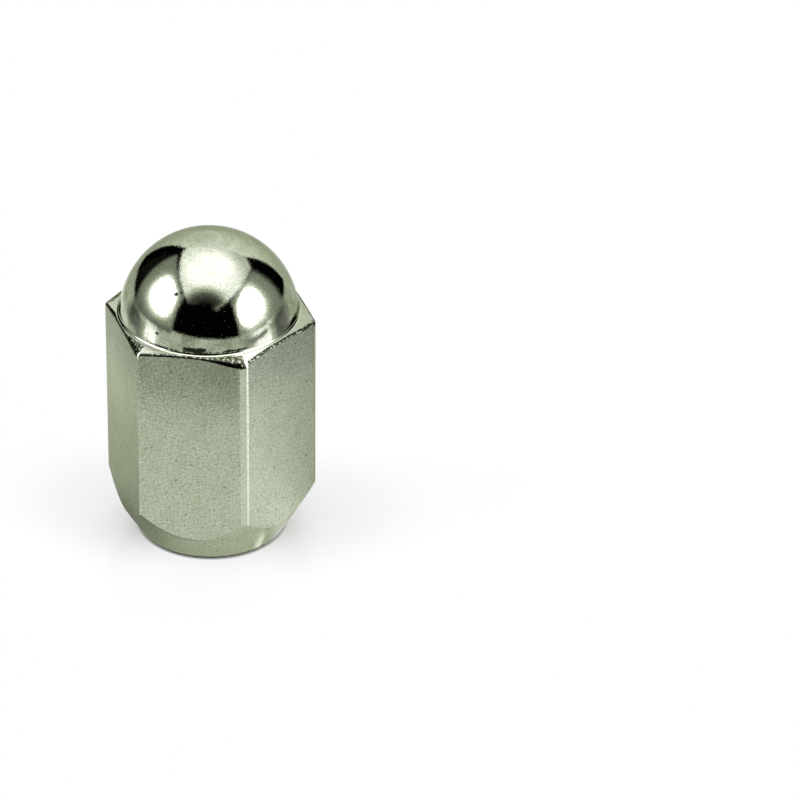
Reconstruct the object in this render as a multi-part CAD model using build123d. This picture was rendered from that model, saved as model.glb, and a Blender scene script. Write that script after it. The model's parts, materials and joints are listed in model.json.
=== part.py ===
"""An acorn lug nut: a hexagon shank with a conical seat round its mouth and a solid dome at its closed end.

The frame is in millimetres. The origin is the centre of the mouth face, which the nut stands on,
and +Z runs along the axis to the top of the dome. Two of the six flats face -Y and +Y.
"""

import math
import os

from build123d import *

# Hexagon shank, up to the shoulder that the dome rises from
flat_count = 6
across_flats = 20.6
corner_radius = 1.0
shank_height = 27.35
end_chamfer_angle = 23.0

# Dome: each flat stands out past it by the ledge, and its centre lies under the shoulder by the sink
dome_ledge = 0.52
dome_sink = 0.73
dome_root_radius = 0.35

# Blind bore, drilled for its thread, and the countersink that leads the stud into it
thread_diameter = 12.7
thread_pitch = 1.27
bore_wall_depth = 24.5
drill_point_angle = 118.0
countersink_clearance = 0.1
countersink_angle = 90.0

# Ring-shaped mouth face, and the seat that widens from it to the flats
mouth_face_width = 1.7
mouth_edge_radius = 0.25
seat_angle = 60.0

# How far the turned outline runs out past the hexagon's corners before they cut it
turning_clearance = 2.0

# Radii and heights that follow from these
half_flat_angle = math.pi / flat_count
corner_distance = (across_flats / 2 - corner_radius) / math.cos(half_flat_angle) + corner_radius
dome_radius = across_flats / 2 - dome_ledge
dome_centre_height = shank_height - dome_sink
bore_radius = (thread_diameter - thread_pitch) / 2
countersink_radius = thread_diameter / 2 + countersink_clearance
mouth_radius = countersink_radius + mouth_face_width


def taper(included_angle):
    """Distance from the axis that a cone of this included angle gains for each millimetre along it."""
    return math.tan(math.radians(included_angle / 2))


def turned_outline():
    """Half section of the outside: mouth face, seat, clearance past the corners, end chamfer and dome."""
    outer_distance = corner_distance + turning_clearance
    seat_height = (outer_distance - mouth_radius) / taper(seat_angle)

    root_distance = math.sqrt(dome_radius**2 - dome_sink**2)
    root_angle = math.degrees(math.asin(dome_sink / dome_radius))
    chamfer_drop = (outer_distance - root_distance) * math.tan(math.radians(end_chamfer_angle))

    mouth_edge = (mouth_radius, 0)
    seat_end = (outer_distance, seat_height)
    chamfer_start = (outer_distance, shank_height - chamfer_drop)
    dome_root = (root_distance, shank_height)
    dome_top = (0, dome_centre_height + dome_radius)

    with BuildSketch(Plane.XZ) as outline:
        with BuildLine():
            Polyline((0, 0), mouth_edge, seat_end, chamfer_start, dome_root)
            CenterArc((0, dome_centre_height), dome_radius, root_angle, 90 - root_angle)
            Line(dome_top, (0, 0))
        make_face()
        fillet(corner_at(outline, mouth_edge), mouth_edge_radius)
        fillet(corner_at(outline, dome_root), dome_root_radius)
    return outline.sketch


def corner_at(outline, point):
    """The corner of a half section at a point that is given as distance from the axis and height."""
    return outline.vertices().sort_by_distance(Vector(*point, 0))[0]


def bore_outline():
    """Half section of the hole: countersink, drilled wall and the cone that the drill's point leaves."""
    countersink_depth = (countersink_radius - bore_radius) / taper(countersink_angle)
    point_depth = bore_radius / taper(drill_point_angle)

    with BuildSketch(Plane.XZ) as outline:
        with BuildLine():
            Polyline(
                (0, 0),
                (countersink_radius, 0),
                (bore_radius, countersink_depth),
                (bore_radius, bore_wall_depth),
                (0, bore_wall_depth + point_depth),
                close=True,
            )
        make_face()
    return outline.sketch


def hexagon_bar():
    """Bar with rounded corners, as long as the whole nut."""
    with BuildPart() as bar:
        with BuildSketch(Plane.XY):
            RegularPolygon(radius=across_flats / 2, side_count=flat_count, major_radius=False)
        extrude(amount=dome_centre_height + dome_radius)
        fillet(bar.edges().filter_by(Axis.Z), corner_radius)
    return bar.part


def lug_nut():
    """The bar turned to its outline at both ends, then drilled and countersunk from the mouth."""
    turned_form = revolve(turned_outline(), axis=Axis.Z)
    bore = revolve(bore_outline(), axis=Axis.Z)
    return (hexagon_bar() & turned_form) - bore


os.makedirs("parts", exist_ok=True)
export_step(lug_nut(), "parts/lug_nut.step")
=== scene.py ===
import json
import math

import bmesh
import bpy
import numpy as np
from mathutils import Matrix, Vector


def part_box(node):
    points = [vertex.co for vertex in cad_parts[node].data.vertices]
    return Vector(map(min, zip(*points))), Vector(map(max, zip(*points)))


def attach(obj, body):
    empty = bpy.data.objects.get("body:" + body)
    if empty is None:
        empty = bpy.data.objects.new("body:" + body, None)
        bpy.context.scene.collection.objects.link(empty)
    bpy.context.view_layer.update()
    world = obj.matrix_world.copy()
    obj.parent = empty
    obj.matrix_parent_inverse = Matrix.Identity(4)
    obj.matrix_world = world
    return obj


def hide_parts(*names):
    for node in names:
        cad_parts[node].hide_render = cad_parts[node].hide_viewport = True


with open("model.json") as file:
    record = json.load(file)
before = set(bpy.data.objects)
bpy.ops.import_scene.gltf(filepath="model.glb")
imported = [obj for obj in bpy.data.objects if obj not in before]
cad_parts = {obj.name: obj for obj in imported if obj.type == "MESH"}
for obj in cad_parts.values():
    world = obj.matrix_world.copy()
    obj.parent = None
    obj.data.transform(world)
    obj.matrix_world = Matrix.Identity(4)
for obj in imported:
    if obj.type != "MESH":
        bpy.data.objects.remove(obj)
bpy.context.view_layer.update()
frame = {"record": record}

MM = 0.001

# The nut's sizes, in millimetres: those that the frame gives, then those that only the shape knows
nut_low, nut_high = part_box("lug_nut")
mounts = {mount["name"]: mount for mount in frame["record"]["mounts"]}
across_flats = (nut_high[1] - nut_low[1]) / MM
overall_height = nut_high[2] / MM
corner_distance = nut_high[0] / MM
bore_radius = mounts["stud_thread"]["dims"]["r_mm"]
thread_pitch = 1.27
thread_radius = bore_radius + thread_pitch / 2
flat_count = 6
half_flat_angle = math.pi / flat_count
flat_distance = across_flats / 2
corner_share = math.cos(half_flat_angle)
corner_radius = (flat_distance - corner_distance * corner_share) / (1 - corner_share)

# The turned ends sit a little off the hexagon's axis, and the dome is a little larger than drawn
seat_axis = (-0.07, -0.012)
dome_axis = (-0.118, -0.020)
dome_inset = 0.39
dome_radius = flat_distance - dome_inset
dome_centre_height = overall_height - dome_radius
shoulder_height = 27.35
dome_sink = shoulder_height - dome_centre_height
dome_root_radius = 0.35
shoulder_distance = math.sqrt(dome_radius**2 - dome_sink**2)
ledge_angle = math.radians(12)

# The ledge falls away this much more steeply at the front's right corner, between these bearings in degrees
ledge_fall = math.radians(9)
fall_bearings = (-66, -60, -30, -10)

# Dark spots on the dome: where each lies and how far it reaches. Two pits and a fleck in its front, then
# smears of painted shade along its root
dome_spots = (
    ((-2.28, -7.11, 33.07), 0.38),
    ((-1.60, -7.06, 33.30), 0.19),
    ((-4.10, -8.75, 28.95), 0.32),
    ((-0.47, -9.83, 27.92), 0.60),
    ((0.05, -9.85, 27.87), 0.65),
    ((0.55, -9.83, 27.87), 0.65),
    ((1.16, -9.75, 27.95), 0.55),
    ((3.80, -9.05, 27.62), 0.55),
    ((4.40, -8.78, 27.55), 0.65),
    ((4.95, -8.49, 27.50), 0.65),
    ((5.46, -8.15, 27.54), 0.55),
)

countersink_clearance = 0.1
countersink_radius = thread_radius + countersink_clearance
countersink_angle = math.radians(45)
mouth_face_width = 1.7
mouth_radius = countersink_radius + mouth_face_width
mouth_edge_radius = 0.25
seat_angle = math.radians(30)
bore_wall_end = mounts["stud_thread"]["dims"]["length_mm"] + countersink_radius - bore_radius
drill_point_angle = math.radians(59)

# The thread's depth along one pitch, from crest over flank, root and flank to the next crest
thread_stations = (0, 0.03, 0.22, 0.25, 0.28, 0.53, 0.5625, 0.6875, 0.72, 0.97, 1)
thread_depths = (0.03, 0, 0, 0.03, 0.1, 0.97, 1, 1, 0.97, 0.1, 0.03)
bore_columns = 144

# Edges that the CAD leaves sharp: where the seat and the ledge meet the flats
seat_edge_radius = 0.12
sharp_edge_drop, worn_edge_drop = 0.22, 0.45

# The hexagon's corners, from the front's right one: how far each is cut back along its flats, the share of
# its width that each end's turn takes (a half makes it round), whether it is rubbed smooth, how far down the
# flats the shoulder's edge is worn away before it, and where along the flat that wear starts
round_cut_back = corner_radius * math.tan(half_flat_angle)
corner_cut_back = (0.56, round_cut_back, 0.45, 0.5, round_cut_back, 0.22)
corner_turn_share = (0.27, 0.5, 0.4, 0.4, 0.5, 0.5)
corner_smooth = (True, True, True, True, True, False)
corner_drop = (0.62, 0.3, 0.5, 0.5, 0.45, 0.6)
wear_start = (0.55, 0.8, 0.6, 0.6, 0.6, 0.0)

# How finely the skin is divided: columns across a flat and across a corner, then rows along each stretch
flat_steps, corner_steps = 30, 12
mouth_face_rows, mouth_edge_rows, seat_rows, flat_rows, root_rows, dome_rows = 5, 7, 8, 20, 11, 59
seat_edge_steps, rolled_edge_steps = 4, 12

# A smooth corner's second turn shines as a bright line where it takes less than this share of the width
tight_turn_share = 0.3

# The flats lean in toward their tops, at most by this angle, between these heights
flat_lean = math.radians(12)
lean_start, lean_end = 16.5, 26


def smooth_step(low, high, value):
    """0 below low, 1 above high, and a smooth rise between them."""
    share = np.clip((value - low) / (high - low), 0, 1)
    return share * share * (3 - 2 * share)


def between(rows):
    """Even shares of a way, without its start and its end."""
    return np.linspace(0, 1, rows + 2)[1:-1]


def to_the_end(rows):
    """Even shares of a way, without its start."""
    return np.linspace(0, 1, rows + 1)[1:]


def part_way(start, end, share):
    """The distance and height at a share of the way between two others."""
    return (a + share * (b - a) for a, b in zip(start, end))


def corner_path(cut_back, turn_share):
    """Points across a corner: how far out and sideways, how far turned, and at what share of the width."""
    fine = np.linspace(0, 1, 2401)
    turn = np.interp(fine, [0, turn_share, 1 - turn_share, 1], [-half_flat_angle, 0, 0, half_flat_angle])
    outward, sideways = np.cumsum(-np.sin(turn)), np.cumsum(np.cos(turn))
    outward, sideways = outward - outward[0], sideways - sideways[0]
    scale = 2 * cut_back * math.cos(half_flat_angle) / sideways[-1]
    sharp_corner = flat_distance / math.cos(half_flat_angle)
    start_out = sharp_corner - cut_back * math.sin(half_flat_angle)
    start_sideways = -cut_back * math.cos(half_flat_angle)

    # Five columns for each turn, and two for the width between them
    knot = min(turn_share, 5 / 12)
    even = np.linspace(0, 1, corner_steps + 1)[:-1]
    places = np.interp(even, [0, 5 / 12, 7 / 12, 1], [0, knot, 1 - knot, 1])
    return (
        np.interp(places, fine, start_out + scale * outward),
        np.interp(places, fine, start_sideways + scale * sideways),
        np.interp(places, fine, turn),
        places,
    )


class Outline:
    """The hexagon seen from above, as columns of points that run round it.

    Each has the direction that its normal faces, its place across its flat, how far the shoulder's edge drops
    there, whether it lies on a corner, and how that corner is rubbed: 0 not, 1 smooth, 2 as a bright line.
    """

    def __init__(self):
        columns = []
        flat_half_width = flat_distance * math.tan(half_flat_angle)
        for flat in range(flat_count):
            flat_facing = -math.pi / 2 + flat * 2 * half_flat_angle
            before, after = corner_cut_back[flat - 1], corner_cut_back[flat]
            share = np.arange(flat_steps) / flat_steps
            sideways = -flat_half_width + before + share * (2 * flat_half_width - before - after)
            wear = corner_drop[flat] - sharp_edge_drop
            columns.append(
                (
                    flat_distance * math.cos(flat_facing) - sideways * math.sin(flat_facing),
                    flat_distance * math.sin(flat_facing) + sideways * math.cos(flat_facing),
                    np.full(flat_steps, flat_facing),
                    share,
                    sharp_edge_drop + wear * smooth_step(wear_start[flat], 1.0, share),
                    np.zeros(flat_steps, bool),
                    np.zeros(flat_steps, int),
                )
            )

            corner_facing = flat_facing + half_flat_angle
            turn_share = corner_turn_share[flat]
            out, side, turn, place = corner_path(corner_cut_back[flat], turn_share)
            leaving = 1 - smooth_step(1 - turn_share, 1, place)
            shines = corner_smooth[flat] and turn_share < tight_turn_share
            bright_line = shines & (place >= 1 - turn_share - 1e-9)
            columns.append(
                (
                    out * math.cos(corner_facing) - side * math.sin(corner_facing),
                    out * math.sin(corner_facing) + side * math.cos(corner_facing),
                    corner_facing + turn,
                    leaving,
                    sharp_edge_drop + wear * leaving,
                    np.ones(corner_steps, bool),
                    np.full(corner_steps, int(corner_smooth[flat])) + bright_line,
                )
            )
        self.x, self.y, self.facing, self.across, self.drop, self.on_corner, self.smooth = (
            np.concatenate(parts) for parts in zip(*columns)
        )

    def centre_on(self, axis):
        """Gives each point's direction and distance from the axis that a form is turned about."""
        self.axis = axis
        self.angle = np.arctan2(self.y - axis[1], self.x - axis[0])
        self.distance = np.hypot(self.x - axis[0], self.y - axis[1])


def direction(facing, lean):
    """Unit vectors that point facing in plan and lean up from level."""
    facing, lean = np.broadcast_arrays(facing, lean)
    return np.column_stack([np.cos(lean) * np.cos(facing), np.cos(lean) * np.sin(facing), np.sin(lean)])


class Skin:
    """Rows of points and normals from the mouth to the dome's top, with the outline's columns."""

    def __init__(self, outline):
        self.outline = outline
        self.rows = []
        self.finishes = []

    def add(self, x, y, height, normals, finish):
        points = np.column_stack(np.broadcast_arrays(x, y, height))
        self.rows.append((points, normals))
        self.finishes.append(finish)

    def turned_row(self, distance, height, lean, finish):
        """A row on the turned ends: lean is how far its normal points up from level."""
        angle, axis = self.outline.angle, self.outline.axis
        x = axis[0] + distance * np.cos(angle)
        y = axis[1] + distance * np.sin(angle)
        self.add(x, y, height, direction(angle, lean), finish)

    def flat_row(self, height, lean, finish):
        """A row on the flats and corners."""
        self.add(self.outline.x, self.outline.y, height, direction(self.outline.facing, lean), finish)

    def edge(self, wall_lean, turned_lean, along, tangents, height, steps, turning, finishes, upward):
        """Rounds the edge at a height on the flats, between them and a turned face.

        along is how far the turned face gains distance and height for each unit of its own length, and
        tangents are how far the rounding reaches down the wall and along the turned face. turning gives the
        share of the turn that is done at a share of the way. finishes are those of the surface before the
        edge and of the edge itself.
        """
        outline = self.outline
        wall_height = height - tangents[0] if upward else height + tangents[0]
        turned_height = height + tangents[1] * along[1]
        start, end = direction(outline.facing, wall_lean), direction(outline.angle, turned_lean)
        turn = np.arccos(np.clip((start * end).sum(axis=1), -1, 1))[:, None]
        shares = np.linspace(0, 1, steps + 1)
        for count, share in enumerate(shares if upward else shares[::-1]):
            # A curve that leaves the wall and ends on the turned face, tangent to both
            wall_part, edge_part, turned_part = (1 - share) ** 2, 2 * share * (1 - share), share**2
            inward = turned_part * tangents[1] * along[0]
            rise = wall_part * wall_height + edge_part * height + turned_part * turned_height
            done = np.broadcast_to(turning(share), len(outline.x))[:, None]
            normals = (start * np.sin((1 - done) * turn) + end * np.sin(done * turn)) / np.sin(turn)
            x = outline.x + inward * np.cos(outline.angle)
            y = outline.y + inward * np.sin(outline.angle)
            self.add(x, y, rise, normals, finishes[min(count, 1)])


FINISHES = (
    "mouth_face", "seat", "flats", "corners", "corner_edge", "rolled_edge", "ledge", "root", "dome", "thread",
)


def outside_rows():
    """Every row of the outside, from the rim of the countersink to the ring next to the dome's top."""
    outline = Outline()
    outline.centre_on(seat_axis)
    skin = Skin(outline)
    quarter = math.pi / 2

    # Mouth face and its rounded edge
    edge_turn = quarter - seat_angle
    edge_tangent = mouth_edge_radius * math.tan(edge_turn / 2)
    face_end = mouth_radius - edge_tangent
    for share in np.linspace(0.25, 1, mouth_face_rows):
        distance = countersink_radius + share * (face_end - countersink_radius)
        skin.turned_row(distance, 0, -quarter, "mouth_face")
    for share in to_the_end(mouth_edge_rows):
        lean = -quarter + share * edge_turn
        distance = face_end + mouth_edge_radius * math.cos(lean)
        height = mouth_edge_radius * (1 + math.sin(lean))
        skin.turned_row(distance, height, lean, "seat")

    # Seat, up to the edge of the flats
    seat_start = mouth_radius + edge_tangent * math.sin(seat_angle), edge_tangent * math.cos(seat_angle)
    seat_top = (outline.distance - mouth_radius) / math.tan(seat_angle)
    seat_tangent = seat_edge_radius * math.tan(seat_angle / 2)
    seat_end = (
        outline.distance - seat_tangent * math.sin(seat_angle),
        seat_top - seat_tangent * math.cos(seat_angle),
    )
    for share in between(seat_rows):
        distance, height = part_way(seat_start, seat_end, share)
        skin.turned_row(distance, height, -seat_angle, "seat")
    along = (-math.sin(seat_angle), -math.cos(seat_angle))
    tangents = seat_tangent, seat_tangent
    finishes = "seat", "flats"
    steps = seat_edge_steps
    skin.edge(0, -seat_angle, along, tangents, seat_top, steps, lambda share: share, finishes, upward=False)

    # Flats, up to the rolled edge of the ledge. They lean in most of all at their right ends
    outline.centre_on(dome_axis)
    ledge_lean = quarter - ledge_angle
    ledge_top = shoulder_height - (outline.distance - shoulder_distance) * math.tan(ledge_angle)
    dome_lean = math.asin(dome_sink / dome_radius)
    root_turn = ledge_lean - dome_lean
    root_tangent = dome_root_radius * math.tan(root_turn / 2)
    ledge_end = (
        shoulder_distance + root_tangent * math.cos(ledge_angle),
        shoulder_height - root_tangent * math.sin(ledge_angle),
    )

    # The rolled edge reaches farther along the ledge where it is worn, and always leaves some of the ledge
    room = 0.85 * (outline.distance - ledge_end[0]) / math.cos(ledge_angle)
    worn = smooth_step(sharp_edge_drop, worn_edge_drop, outline.drop)
    tangents = outline.drop, np.minimum(outline.drop * (1.2 + 1.2 * worn), room)
    wall_start, wall_end = seat_top + seat_tangent, ledge_top - outline.drop
    lean_share = (0.4 + 0.6 * smooth_step(0.1, 0.9, outline.across)) * flat_lean * ~outline.on_corner
    for share in between(flat_rows):
        height = wall_start + share * (wall_end - wall_start)
        skin.flat_row(height, lean_share * smooth_step(lean_start, lean_end, height), "flats")
    along = (-math.cos(ledge_angle), math.sin(ledge_angle))
    wall_lean = lean_share * smooth_step(lean_start, lean_end, wall_end)

    def turning(share):
        """The shoulder's edge turns in two bends, which lie farther apart where it is worn."""
        sharp = np.interp(share, [0, 0.12, 0.6, 0.8, 1], [0, 0.3, 0.56, 0.7, 1])
        steep = np.interp(share, [0, 0.1, 0.48, 0.66, 1], [0, 0.25, 0.45, 0.92, 1])
        return sharp + (steep - sharp) * worn

    finishes = "flats", "rolled_edge"
    steps = rolled_edge_steps
    skin.edge(wall_lean, ledge_lean, along, tangents, ledge_top, steps, turning, finishes, upward=True)

    # Ledge, and the hollow that the dome rises from
    ledge_start = outline.distance + tangents[1] * along[0], ledge_top + tangents[1] * along[1]
    bearing = np.degrees(outline.angle)
    falling_there = smooth_step(*fall_bearings[:2], bearing) * (1 - smooth_step(*fall_bearings[2:], bearing))
    for share, fall_share in ((0.2, 0.5), (0.4, 1), (0.6, 1), (0.8, 1), (1, 0.5)):
        distance, height = part_way(ledge_start, ledge_end, share)
        skin.turned_row(distance, height, ledge_lean - fall_share * ledge_fall * falling_there, "ledge")
    centre = (
        ledge_end[0] + dome_root_radius * math.cos(ledge_lean),
        ledge_end[1] + dome_root_radius * math.sin(ledge_lean),
    )
    for share in to_the_end(root_rows):
        lean = ledge_lean - share * root_turn
        distance = centre[0] - dome_root_radius * math.cos(lean)
        height = centre[1] - dome_root_radius * math.sin(lean)
        skin.turned_row(distance, height, lean, "root")

    # Dome
    start_lean = math.atan2(height - dome_centre_height, distance)
    for share in between(dome_rows):
        lean = start_lean + share * (quarter - start_lean)
        distance = dome_radius * math.cos(lean)
        height = dome_centre_height + dome_radius * math.sin(lean)
        skin.turned_row(distance, height, lean, "dome")
    return skin


def bore_mesh():
    """The countersunk mouth, the right-hand thread and the cone that the drill's point leaves."""
    turns = range(-2, int(bore_wall_end / thread_pitch) + 3)
    steps = np.array([turn + station for turn in turns for station in thread_stations[:-1]])
    angles = np.arange(bore_columns + 1) * 2 * math.pi / bore_columns
    height = (steps[:, None] + angles[None, :] / (2 * math.pi)) * thread_pitch
    depth = np.interp(steps % 1, thread_stations, thread_depths)
    run_out = 1 - smooth_step(bore_wall_end - 2 * thread_pitch, bore_wall_end - 0.5 * thread_pitch, height)
    cut = bore_radius + (thread_radius - bore_radius) * depth[:, None] * run_out
    countersink = countersink_radius - height * math.tan(countersink_angle)
    distance = np.maximum(cut, np.minimum(countersink, countersink_radius + thread_pitch))

    mesh = bmesh.new()
    grid = []
    for row_distance, row_height in zip(distance, height):
        x, y = row_distance * np.cos(angles), row_distance * np.sin(angles)
        grid.append([mesh.verts.new(point) for point in zip(x, y, row_height)])
    for lower, upper in zip(grid, grid[1:]):
        for k in range(bore_columns):
            mesh.faces.new((lower[k], upper[k], upper[k + 1], lower[k + 1]))
    bmesh.ops.remove_doubles(mesh, verts=mesh.verts, dist=1e-5)
    for cut_height, side in ((0, -1), (bore_wall_end, 1)):
        everything = mesh.verts[:] + mesh.edges[:] + mesh.faces[:]
        cut = {"plane_co": (0, 0, cut_height), "plane_no": (0, 0, side), "clear_outer": True}
        bmesh.ops.bisect_plane(mesh, geom=everything, dist=1e-6, **cut)

    end = ring_at(mesh, bore_wall_end)
    tip = mesh.verts.new((0, 0, bore_wall_end + bore_radius / math.tan(drill_point_angle)))
    for vertex, after in zip(end, end[1:] + end[:1]):
        mesh.faces.new((vertex, tip, after))
    for face in mesh.faces:
        face.material_index = FINISHES.index("thread")
    return mesh


def bearing_of(vertex):
    """The direction in which a vertex lies from the nut's axis."""
    return math.atan2(vertex.co.y, vertex.co.x)


def ring_at(mesh, height):
    """The open edge of a mesh at a height, as vertices in the order of their direction round the axis."""
    found = {v for e in mesh.edges if e.is_boundary for v in e.verts if abs(v.co.z - height) < 1e-4}
    return sorted(found, key=bearing_of)


def bearing_after(angles, place):
    """The direction of the vertex after a place in a ring, which goes on past a full turn at its end."""
    return angles[place + 1] if place + 1 < len(angles) else angles[0] + 2 * math.pi


def zip_rings(mesh, inner, outer, finish):
    """Joins two rings with triangles, taking the next vertex from whichever ring lags."""
    inner_angles, outer_angles = ([bearing_of(vertex) for vertex in ring] for ring in (inner, outer))
    i = j = 0
    while i < len(inner) or j < len(outer):
        here = inner[i % len(inner)], outer[j % len(outer)]
        inner_next = i < len(inner) and (
            j >= len(outer) or bearing_after(inner_angles, i) <= bearing_after(outer_angles, j)
        )
        if inner_next:
            i += 1
            corner = inner[i % len(inner)]
        else:
            j += 1
            corner = outer[j % len(outer)]
        mesh.faces.new((here[0], corner, here[1])).material_index = finish


def outside_finish(outline, finish, column):
    """A face's finish. The flats' rows pass over the corners too, which are rubbed in their own ways."""
    rubbed = outline.smooth[column]
    if finish == "flats":
        return ("flats", "corners", "corner_edge")[rubbed]
    if finish == "rolled_edge" and outline.on_corner[column] and rubbed != 1:
        return "corner_edge"
    return finish


def add_outside(mesh, skin):
    """Adds the skin to the mesh. Gives its first row, and the exact normal of each of its vertices."""
    columns = len(skin.outline.x)
    exact = {}
    grid = []
    for points, normals in skin.rows:
        row = [mesh.verts.new(point) for point in points]
        exact.update(zip(row, normals))
        grid.append(row)
    top = mesh.verts.new((*dome_axis, overall_height))
    exact[top] = (0, 0, 1)
    for lower, upper, finish in zip(grid, grid[1:], skin.finishes[1:]):
        for k in range(columns):
            after = (k + 1) % columns
            face = mesh.faces.new((lower[k], lower[after], upper[after], upper[k]))
            face.material_index = FINISHES.index(outside_finish(skin.outline, finish, k))
    last = grid[-1]
    for vertex, after in zip(last, last[1:] + last[:1]):
        mesh.faces.new((vertex, after, top)).material_index = FINISHES.index("dome")
    return grid[0], exact


def build_nut():
    """One closed mesh of the whole nut, with a finish for each region and exact normals outside."""
    mesh = bore_mesh()
    rim = ring_at(mesh, 0)
    first_row, exact = add_outside(mesh, outside_rows())
    zip_rings(mesh, rim, sorted(first_row, key=bearing_of), FINISHES.index("mouth_face"))
    bmesh.ops.recalc_face_normals(mesh, faces=mesh.faces)
    mesh.normal_update()
    mesh.verts.index_update()
    normals = [exact.get(v, v.normal) for v in mesh.verts]

    bmesh.ops.scale(mesh, vec=(MM, MM, MM), verts=mesh.verts)
    for face in mesh.faces:
        face.smooth = True
    data = bpy.data.meshes.new("lug_nut_finished")
    mesh.to_mesh(data)
    mesh.free()
    data.normals_split_custom_set_from_vertices([tuple(n) for n in normals])
    nut = bpy.data.objects.new("lug_nut_finished", data)
    bpy.context.scene.collection.objects.link(nut)
    return nut


class Value:
    """One output of a material's nodes. Sums, products and the like of values add the nodes for them."""

    def __init__(self, tree, socket):
        self.tree, self.socket = tree, socket

    def math(self, operation, *others):
        return self.tree.node("ShaderNodeMath", {"operation": operation}, dict(enumerate((self, *others))))

    def __add__(self, other):
        return self.math("ADD", other)

    def __mul__(self, other):
        return self.math("MULTIPLY", other)

    def __sub__(self, other):
        return self.math("SUBTRACT", other)

    def __rsub__(self, other):
        return self.tree.node("ShaderNodeMath", {"operation": "SUBTRACT"}, {0: other, 1: self})

    def __truediv__(self, other):
        return self.math("DIVIDE", other)

    def __pow__(self, other):
        return self.math("POWER", other)

    def __neg__(self):
        return self * -1

    __radd__ = __add__
    __rmul__ = __mul__

    def size(self):
        return self.math("ABSOLUTE")

    def at_most(self, other):
        return self.math("MINIMUM", other)

    def at_least(self, other):
        return self.math("MAXIMUM", other)

    def clamped(self):
        return self.tree.node("ShaderNodeClamp", {}, {"Value": self})

    def rise(self, low, high):
        """0 below low, 1 above high, and a smooth rise between."""
        settings = {"interpolation_type": "SMOOTHSTEP"}
        inputs = {"Value": self, "From Min": low, "From Max": high}
        return self.tree.node("ShaderNodeMapRange", settings, inputs)

    def fall(self, low, high):
        """1 below low, 0 above high, and a smooth fall between."""
        return 1 - self.rise(low, high)

    def band(self, start, full, fading, end):
        """A smooth rise from start to full, then a smooth fall from fading to end."""
        return self.rise(start, full) * self.fall(fading, end)


class Tree:
    """The nodes of one material or of the world."""

    def __init__(self, owner):
        owner.use_nodes = True
        self.nodes, self.links = owner.node_tree.nodes, owner.node_tree.links
        self.nodes.clear()

    def node(self, kind, settings, inputs, output=0):
        """Adds a node: its settings first, then the value or the link of each input."""
        node = self.nodes.new(kind)
        for name, setting in settings.items():
            setattr(node, name, setting)
        for name, value in inputs.items():
            if isinstance(value, Value):
                self.links.new(value.socket, node.inputs[name])
            else:
                node.inputs[name].default_value = value
        return Value(self, node.outputs[output]) if len(node.outputs) else node

    def mix(self, factor, low, high):
        """A colour between two others."""
        settings = {"data_type": "RGBA"}
        return self.node("ShaderNodeMix", settings, {0: factor, 6: low, 7: high}, output=2)

    def millimetres(self):
        """Place on the nut, in millimetres."""
        place = self.node("ShaderNodeTexCoord", {}, {}, output="Object")
        return self.node("ShaderNodeVectorMath", {"operation": "SCALE"}, {0: place, "Scale": 1 / MM})

    def rays(self):
        """Whether a ray comes from the camera, off a mirror, or through a clear thing."""
        names = "Is Camera Ray", "Is Glossy Ray", "Is Transmission Ray"
        return (self.node("ShaderNodeLightPath", {}, {}, output=name) for name in names)

    def axis(self, place, name):
        """How far a place lies along one axis: X, Y or Z."""
        return self.node("ShaderNodeSeparateXYZ", {}, {"Vector": place}, output=name)

    def noise(self, place, scale, detail=2.0, roughness=0.5):
        """Soft random blotches around 0.5."""
        inputs = {"Vector": place, "Scale": scale, "Detail": detail, "Roughness": roughness}
        return self.node("ShaderNodeTexNoise", {}, inputs)

    def strokes(self, place, scale):
        """Fine strokes that cross each other slantwise on the sides of the nut."""
        x, y, z = (self.axis(place, name) for name in "XYZ")
        around = y.math("ARCTAN2", x) * flat_distance
        rising, falling = (around + z) * scale, (around - z) * scale
        thin = 0.3
        slants = (thin * rising, falling), (rising, thin * falling)
        crossed = [self.node("ShaderNodeCombineXYZ", {}, {"X": a, "Y": b}) for a, b in slants]
        return 0.5 * self.noise(crossed[0], 1.0) + 0.5 * self.noise(crossed[1], 1.0)

    def spots(self, place, scale, inner, outer):
        """Small scattered spots: 1 in the middle of each, 0 between them."""
        away = self.node("ShaderNodeTexVoronoi", {}, {"Vector": place, "Scale": scale}, output="Distance")
        return away.fall(inner, outer)

    def finish(self, kind, shader):
        """Joins the shader to the output."""
        self.node(kind, {}, {"Surface": shader})


# The plate's colours: two tones, where it is rubbed, at a glancing angle, and under stains and painted shade
PALE_NICKEL = (0.543, 0.575, 0.452, 1)
DEEP_NICKEL = (0.286, 0.325, 0.218, 1)
RUBBED_NICKEL = (0.68, 0.71, 0.60, 1)
EDGE_TINT = (0.58, 0.60, 0.52, 1)
STAIN_AND_PAINTED_SHADE = (0.020, 0.024, 0.013, 1)


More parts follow.
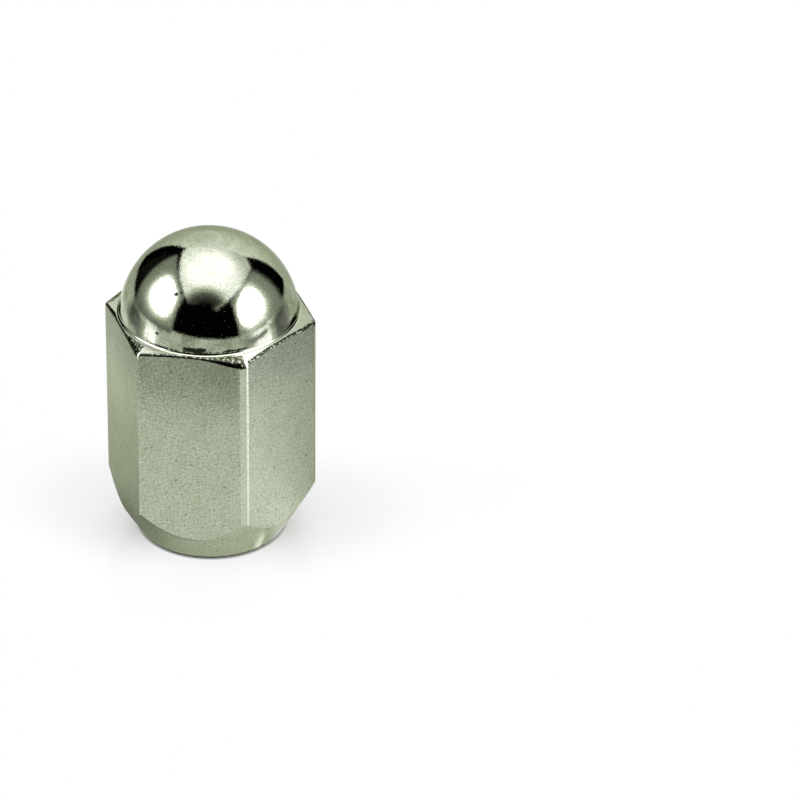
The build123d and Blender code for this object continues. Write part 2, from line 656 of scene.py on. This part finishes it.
def plated(
    name, roughness, grain, grain_scale, grain_height, shade=0.5, marks=None, slanted=False, pale=PALE_NICKEL
):
    """Nickel plate over steel, with its grain in the colour, the gloss and the surface.

    grain is how strongly the grain shows in the tone, grain_scale how fine it is and grain_height how high
    it stands in millimetres. shade is the plain tone, from 0 pale to 1 deep. marks takes the tree, a place in
    millimetres and the tone with its grain, and gives the tone with its marks and painted shade, how much of
    the plate is hidden by stains and by painted shade, and how much rougher dust makes it.
    """
    material = bpy.data.materials.new(name)
    tree = Tree(material)
    place = tree.millimetres()
    if slanted:
        fine = tree.strokes(place, grain_scale)
    else:
        fine = tree.noise(place, grain_scale, detail=3.0, roughness=0.6)
    broad = tree.noise(place, 0.5)
    tone = shade + grain * (fine - 0.5) + 0.5 * (broad - 0.5)
    stain_and_shade = dust = 0.0
    if marks:
        tone, stain_and_shade, dust = marks(tree, place, tone)
    colour = tree.mix(stain_and_shade, tree.mix(tone.clamped(), pale, DEEP_NICKEL), STAIN_AND_PAINTED_SHADE)
    gloss = (roughness + 0.3 * roughness * (fine - 0.5) + dust).clamped()
    bump = tree.node("ShaderNodeBump", {}, {"Strength": 1.0, "Distance": grain_height * MM, "Height": fine})
    inputs = {
        "Base Color": colour,
        "Metallic": 1.0,
        "Roughness": gloss,
        "Specular Tint": EDGE_TINT,
        "Normal": bump,
    }
    tree.finish("ShaderNodeOutputMaterial", tree.node("ShaderNodeBsdfPrincipled", {}, inputs))
    return material


def satin_pores_and_top_shade(tree, place, tone):
    """Sparse small pores, and painted shade toward the top: a darker tone and stain, and a stronger grain."""
    # The darkening toward the top is painted shade, in the tone and in the stain
    top = tree.axis(place, "Z").rise(18, 27)
    stain_and_shade = 0.65 * tree.spots(place, 0.95, 0.06, 0.15) + 0.2 * top
    return tone + (1.3 * (tone - 0.5) + 0.25) * top, stain_and_shade.clamped(), 0.0


def seat_specks_and_rim_shade(tree, place, tone):
    """Painted shade at the mouth, a fine dark line on the left half of the front flat's arc, and specks."""
    x, y, z = (tree.axis(place, name) for name in "XYZ")
    line = (y + flat_distance).size().fall(0.05, 0.13) * x.fall(-0.5, 0.8)
    specks = 0.6 * tree.spots(place, 1.2, 0.07, 0.15)
    # The dark band on the rim at the mouth, where it meets the table, is painted contact shade
    return tone, (0.9 * z.fall(0.20, 0.40) + 0.85 * line + specks).clamped(), 0.0


def edge_marks(tree, place, tone):
    """Broken dark dashes along the shoulder's edge."""
    return tone, 0.9 * tree.noise(place, 3.2).rise(0.40, 0.50), 0.0


def ledge_marks(tree, place, tone):
    """The ledge's tone is darker toward the right."""
    return tone + 0.8 * tree.axis(place, "X").rise(8.0, 9.5), 0.0, 0.0


def root_painted_shade(tree, place):
    """Patchy painted shade along the front of the hollow that the dome rises from."""
    x, y, z = (tree.axis(place, name) for name in "XYZ")
    reach = z.band(27.42, 27.50, 27.62, 27.80) * x.size().fall(4.5, 6.0) * y.fall(-7, -5)
    return 0.95 * reach * tree.noise(place, 2.6, detail=3.0).rise(0.38, 0.50)


def hollow_painted_shade(tree, place, tone):
    """The hollow's own part of that painted shade."""
    return tone, root_painted_shade(tree, place), 0.0


def dome_marks_and_shade(tree, place, tone):
    """Clouds low on the dome, faint turning lines near its top, painted shade, its dark spots, and dust."""
    height = tree.axis(place, "Z")
    clouds = tree.noise(place, 0.6, detail=3.0)
    tone = tone + 3.2 * (clouds - 0.5) * height.fall(29.5, 31.5)
    stretched = tree.node("ShaderNodeVectorMath", {"operation": "MULTIPLY"}, {0: place, 1: (0.4, 0.4, 8)})
    lines = tree.noise(stretched, 1.0, detail=1.0)
    tone = tone + 0.8 * (lines - 0.5) * height.rise(31, 35)
    ragged = 0.8 * (tree.noise(place, 4.0) - 0.5)
    # Painted shade along the root at the front, to which the smears among the spots add more painted shade
    stain_and_shade = root_painted_shade(tree, place)
    for spot, reach in dome_spots:
        # The spots are wider than they are high
        apart = tree.node("ShaderNodeVectorMath", {"operation": "SUBTRACT"}, {0: place, 1: spot})
        apart = tree.node("ShaderNodeVectorMath", {"operation": "MULTIPLY"}, {0: apart, 1: (1, 1, 1.7)})
        away = tree.node("ShaderNodeVectorMath", {"operation": "LENGTH"}, {0: apart}, output="Value")
        stain_and_shade = stain_and_shade + 1.2 * (away + ragged).fall(0.45 * reach, reach)
    return tone, stain_and_shade.clamped(), 0.35 * tree.spots(place, 2.2, 0.05, 0.11)


def nut_materials():
    """The plate as each region of the nut was left: turned, cut, rolled, rubbed or polished."""
    return {
        "mouth_face": plated("turned_mouth_face", 0.3, 0.4, 4.0, 0.006),
        "seat": plated("turned_seat", 0.22, 2.6, 6.0, 0.012, marks=seat_specks_and_rim_shade, slanted=True),
        "flats": plated("satin_flats", 0.33, 5.0, 7.0, 0.025, marks=satin_pores_and_top_shade, slanted=True),
        "corners": plated("smooth_corners", 0.24, 2.6, 6.0, 0.02, shade=0.25, slanted=True),
        "corner_edge": plated("rubbed_corner_edge", 0.22, 1.0, 5.0, 0.03, shade=0.1, pale=RUBBED_NICKEL),
        "rolled_edge": plated("rolled_edge", 0.07, 1.4, 3.5, 0.045, shade=0.8, marks=edge_marks),
        "ledge": plated("shoulder_ledge", 0.16, 0.8, 4.0, 0.02, shade=-0.1, marks=ledge_marks),
        "root": plated("dome_root", 0.07, 0.4, 4.0, 0.008, shade=0.3, marks=hollow_painted_shade),
        "dome": plated("polished_dome", 0.042, 2.0, 5.0, 0.006, marks=dome_marks_and_shade),
        "thread": plated("cut_thread", 0.25, 0.2, 4.0, 0.004),
    }


# The camera: its heading round the nut, its tilt, lens and distance, and where it sees the mouth's centre
camera_yaw = math.radians(9.62)
camera_pitch = math.radians(31.93)
camera_roll = math.radians(0.64)
lens_length = 247.5
sensor_width = 36.0
picture_width = 800
focal_pixels = lens_length / sensor_width * picture_width
camera_distance = 29.915 * across_flats * MM
mouth_pixel = (212.17, 517.8)


def studio_axes():
    """Unit vectors to the right of the camera's heading, along it, and up."""
    turn = Matrix.Rotation(camera_yaw, 3, "Z")
    return turn @ Vector((1, 0, 0)), turn @ Vector((0, 1, 0)), Vector((0, 0, 1))


def add_camera():
    """Puts the camera where the mouth's centre falls on its pixel."""
    right, ahead, up = studio_axes()
    forward = ahead * math.cos(camera_pitch) - up * math.sin(camera_pitch)
    level_up = ahead * math.sin(camera_pitch) + up * math.cos(camera_pitch)
    camera_right = right * math.cos(camera_roll) + level_up * math.sin(camera_roll)
    camera_up = level_up * math.cos(camera_roll) - right * math.sin(camera_roll)
    half = picture_width / 2
    sideways = (mouth_pixel[0] - half) * camera_distance / focal_pixels
    upward = -(mouth_pixel[1] - half) * camera_distance / focal_pixels
    place = -(camera_right * sideways + camera_up * upward + forward * camera_distance)
    data = bpy.data.cameras.new("camera")
    data.lens, data.sensor_width = lens_length, sensor_width
    camera = bpy.data.objects.new("camera", data)
    axes = Matrix((camera_right, camera_up, -forward)).transposed().to_4x4()
    camera.matrix_world = Matrix.Translation(place) @ axes
    bpy.context.scene.collection.objects.link(camera)
    bpy.context.scene.camera = camera


# The studio is a tent of light, in metres from the nut along the camera's heading: x right, y ahead, z up
tent_left, tent_right = -0.34, 0.48
tent_back = 0.45
tent_roof = 0.53
table_front = -1.2
table_margin = 0.2
hem_height = 0.062


def stage_sheet(name, corners, material):
    """A flat sheet of the studio, unseen by the camera, with its corners given along the camera's heading."""
    right, ahead, up = studio_axes()
    data = bpy.data.meshes.new(name)
    points = [right * x + ahead * y + up * z for x, y, z in corners]
    data.from_pydata(points, [], [tuple(range(len(corners)))])
    data.materials.append(material)
    sheet = bpy.data.objects.new(name, data)
    bpy.context.scene.collection.objects.link(sheet)
    sheet.visible_camera = False
    return sheet


def heading_place(tree):
    """Place in the studio along the camera's heading, as x, y and z."""
    place = tree.node("ShaderNodeNewGeometry", {}, {}, output="Position")
    settings = {"operation": "DOT_PRODUCT"}
    return [
        tree.node("ShaderNodeVectorMath", settings, {0: place, 1: axis}, output="Value")
        for axis in studio_axes()
    ]


# The brightest level of a sheet, and the light's colours where it is dim and where it is bright
PEAK = 5.0
DIM_LIGHT = (0.965, 1.0, 0.935, 1)
BRIGHT_LIGHT = (1.035, 1.0, 1.13, 1)


def light_colour(tree, level):
    """The light's own colour at a level, yellower where it is dim."""
    return tree.mix(level.rise(0.6, 2.2), DIM_LIGHT, BRIGHT_LIGHT)


def glow(tree, colour, level, strength):
    """A surface that only gives light of a colour, with its level given as a share of the strength."""
    scaled = {0: colour, "Scale": level / strength}
    emitted = tree.node("ShaderNodeVectorMath", {"operation": "SCALE"}, scaled)
    inputs = {
        "Base Color": (0, 0, 0, 1),
        "Specular IOR Level": 0.0,
        "Roughness": 1.0,
        "Emission Color": emitted,
        "Emission Strength": strength,
    }
    return tree.node("ShaderNodeBsdfPrincipled", {}, inputs)


def glowing(name, level_at):
    """A white sheet that gives light; level_at gives its level from its place in the studio."""
    material = bpy.data.materials.new(name)
    tree = Tree(material)
    level = level_at(*heading_place(tree))
    tree.finish("ShaderNodeOutputMaterial", glow(tree, light_colour(tree, level), level, PEAK))
    return material


def lamp_behind(across, along, centre, half_sizes):
    """How bright a sheet is with a soft square lamp behind it, from the middle outward."""
    squareness = 2.6
    apart = ((across - centre[0]) / half_sizes[0]).size(), ((along - centre[1]) / half_sizes[1]).size()
    away = (apart[0] ** squareness + apart[1] ** squareness) ** (1 / squareness)
    return (0.38 + 1.4 * away.at_least(0.5) ** -7.5).at_most(PEAK)


def build_tent():
    """Roof, side walls, backdrop and front hem."""
    left, right, roof_height = -tent_left, tent_right, tent_roof

    def left_level(x, y, z):
        """A lamp that a slanting edge cuts off at the back, over a darker foot of plain cloth."""
        core = lamp_behind(y, z, (-0.28 * left, 0.80 * left), (0.50 * left, 0.50 * left))
        core = core * (1 - 0.97 * (y - 0.5 * z).rise(0.09, 0.145)) * (0.55 + 0.45 * z.rise(0.03, 0.12))
        cloth = 0.75 - 0.45 * y.band(0.0, 0.04, 0.15, 0.19) + 0.9 * y.band(-0.17, -0.13, -0.06, -0.04)
        return core + z.fall(0.022, 0.030) * (cloth - core)

    def right_level(x, y, z):
        """A lamp that fades toward the back, over a darker foot of plain cloth."""
        core = lamp_behind(y, z, (-0.52 * right, 0.63 * right), (0.535 * right, 0.495 * right))
        core = core * y.fall(0.35 * right, 0.58 * right)
        cloth = 0.9 + 0.9 * y.band(-0.12, -0.09, -0.04, -0.01) - 0.5 * y.rise(0.0, 0.05)
        return core + z.fall(0.016, 0.024) * (cloth - core)

    def roof_level(x, y, z):
        """Brightest over the nut, dark round the opening at the front, with a lit edge at the right."""
        away = (x**2 + (y - 0.03) ** 2) ** 0.5
        opening = ((x + 0.05) ** 2 + (y + 0.62) ** 2) ** 0.5
        middle = 1.6 + 0.9 * away.fall(0.14, 0.34) + 0.2 * x.rise(0, 0.2)
        middle = middle - 0.95 * (x + 0.8 * y).rise(0.25, 0.62)
        middle = middle * opening.rise(0.20, 0.46) ** 2.5 + 0.10 * opening.rise(0.10, 0.28)
        from_edge = 0.472 * (y + 0.633 * roof_height) - 0.8816 * (x - 0.633 * roof_height)
        return middle.at_least(0.3 * from_edge.fall(0.0, 0.12) + 0.4 * from_edge.fall(0.006, 0.022))

    def backdrop_level(x, y, z):
        """Brighter toward its top, and a little toward the right."""
        return (0.88 + 0.58 * z / roof_height) * (0.9 + 0.1 * x.rise(-0.24, 0.1))

    def hem_level(x, y, z):
        """Evenly lit."""
        return 0.74 + 0 * x

    x, y0, y1, top = tent_left, 1.15 * left, -1.0 * left, 1.56 * left
    corners = [(x, y0, 0), (x, y1, 0), (x, y1, top), (x, y0, top)]
    stage_sheet("left_wall", corners, glowing("left_wall", left_level))
    x, y0, y1, low_top, high_top = tent_right, 0.58 * right, -1.19 * right, 1.00 * right, 1.50 * right
    corners = [(x, y0, 0), (x, y1, 0), (x, y1, high_top), (x, y0, low_top)]
    stage_sheet("right_wall", corners, glowing("right_wall", right_level))
    outline = [
        (-0.49, 0.81), (0, 0.74), (0.45, 0.72), (0.73, 0.81), (0.94, 0.54), (0.834, 0), (0.771, -0.28),
        (0.633, -0.633), (0.50, -0.92), (0.33, -1.25), (-0.59, -0.889), (-0.597, 0),
    ]
    corners = [(x * roof_height, y * roof_height, roof_height) for x, y in outline]
    stage_sheet("roof", corners, glowing("roof", roof_level))
    outline = [(-0.532, 0), (0.90, 0), (0.90, 1.21), (0.624, 1.358), (0, 1.322), (-0.532, 1.24)]
    corners = [(x * tent_back, tent_back, z * tent_back) for x, z in outline]
    stage_sheet("backdrop", corners, glowing("backdrop", backdrop_level))

    # The cloth's front hem, which stands up from the table at the left and sinks to it at the right
    hem = glowing("front_hem", hem_level)
    x, y = tent_left, 1.8 * tent_left
    stage_sheet("left_hem", [(x, x, 0), (x, y, 0), (x, y, hem_height), (x, x, 0.058)], hem)
    corners = [(x, y, 0), (0.4, y, 0), (0.2, y, 0.018), (0, y, 0.032), (x, y, hem_height)]
    stage_sheet("front_hem", corners, hem)


def shadow_share(aside, bearing, away):
    """How far the table is plain white and not lit with the nut's shadow, outside the mouth's dark line."""
    share = 0.35 + 0.45 * aside.fall(25, 80) + 0.65 * away.rise(0.016, 0.030)
    share = share - 0.15 * bearing.band(60, 100, 125, 175)
    return share.at_most(1) * away.rise(0.0083, 0.0086)


def table_level(x, y, aside, bearing, away):
    """How bright the table is in the nut's reflections: painted pools of light, reflections and shadow."""
    near = away.fall(0.03, 0.07)
    # Painted dark strips at both sides, and the lamps' reflections painted as strips at left and right
    level = 0.74 + 0.16 * aside.rise(112, 135) - 0.68 * aside.band(84, 93, 108, 124) * (1 - 0.9 * near)
    level = level + 1.6 * bearing.band(-84, -79, -68, -60) * away.rise(0.05, 0.09)
    level = level + 1.7 * bearing.band(52, 66, 78, 84) * (1 - 0.75 * near)

    # A painted dark stripe on the table at the right
    stripe_apart = (0.937 * y - 0.349 * x + 0.1217).size()
    level = level * (1 - 0.95 * stripe_apart.fall(0.022, 0.048) * bearing.band(42, 54, 75, 80))

    # Painted light in front of the nut and behind it at left, and painted light and shade close beside its
    # seat
    level = level + 0.35 * near * aside.fall(70, 90)
    behind = bearing.fall(-102, -88) * away.band(0.012, 0.020, 0.07, 0.11)
    level = level + (0.2 + 0.5 * away.rise(0.025, 0.045)) * behind
    streak = (y + 0.0064).size().fall(0.0001, 0.0006) * x.band(0.0046, 0.0058, 0.0066, 0.0076)
    beside = 0.25 * x.rise(-0.002, 0.009) + 1.5 * streak - 0.16 - 0.46 * x.fall(-0.010, -0.002)
    level = level + away.fall(0.012, 0.016) * beside
    return level.at_least(0.05)


def build_table():
    """Pale table: white to the camera, with the nut's own shadow; painted light and shade in reflections."""
    material = bpy.data.materials.new("white_table")
    tree = Tree(material)
    seen, glossy, through = tree.rays()
    x, y, _ = heading_place(tree)
    away = (x * x + y * y) ** 0.5

    # Bearing from the nut in degrees: 0 is toward the camera, and to the right is above 0
    bearing = x.math("ARCTAN2", -y) * math.degrees(1)
    aside = bearing.size()
    share = seen * shadow_share(aside, bearing, away) + 0.8 * (glossy + through)
    level = seen + (1 - seen) * table_level(x, y, aside, bearing, away)
    colour = tree.mix(seen, light_colour(tree, level), (1, 1, 1, 1))
    inputs = {"Base Color": (0.72, 0.735, 0.69, 1), "Roughness": 0.12, "IOR": 1.45}
    lit = tree.node("ShaderNodeBsdfPrincipled", {}, inputs)
    shader = tree.node("ShaderNodeMixShader", {}, {0: share, 1: lit, 2: glow(tree, colour, level, 1.0)})
    tree.finish("ShaderNodeOutputMaterial", shader)
    table_left, table_right = tent_left - table_margin, tent_right + table_margin
    corners = [
        (table_left, table_front, 0), (table_right, table_front, 0),
        (table_right, tent_back, 0), (table_left, tent_back, 0),
    ]
    table = stage_sheet("white_table", corners, material)
    table.visible_camera = True


def build_room():
    """Dark room round the tent, which only reflections and the lamps' light meet."""
    material = bpy.data.materials.new("dark_room")
    tree = Tree(material)
    shader = tree.node("ShaderNodeBsdfDiffuse", {}, {"Color": (0.01, 0.01, 0.01, 1)})
    tree.finish("ShaderNodeOutputMaterial", shader)
    mesh = bmesh.new()
    bmesh.ops.create_icosphere(mesh, subdivisions=3, radius=2.0)
    data = bpy.data.meshes.new("dark_room")
    mesh.to_mesh(data)
    mesh.free()
    data.materials.append(material)
    room = bpy.data.objects.new("dark_room", data)
    bpy.context.scene.collection.objects.link(room)
    room.visible_camera = False


def build_world():
    """White beyond the table, for the camera and in what mirrors or lets it through."""
    world = bpy.data.worlds.new("white_surround")
    bpy.context.scene.world = world
    tree = Tree(world)
    seen, glossy, through = tree.rays()
    strength = (seen + glossy + through).clamped()
    shader = tree.node("ShaderNodeBackground", {}, {"Color": (1, 1, 1, 1), "Strength": strength})
    tree.finish("ShaderNodeOutputWorld", shader)


nut = build_nut()
materials = nut_materials()
for finish in FINISHES:
    nut.data.materials.append(materials[finish])
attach(nut, "root")
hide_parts("lug_nut")

build_table()
build_tent()
build_room()
build_world()
add_camera()
bpy.context.scene.view_settings.view_transform = "Standard"
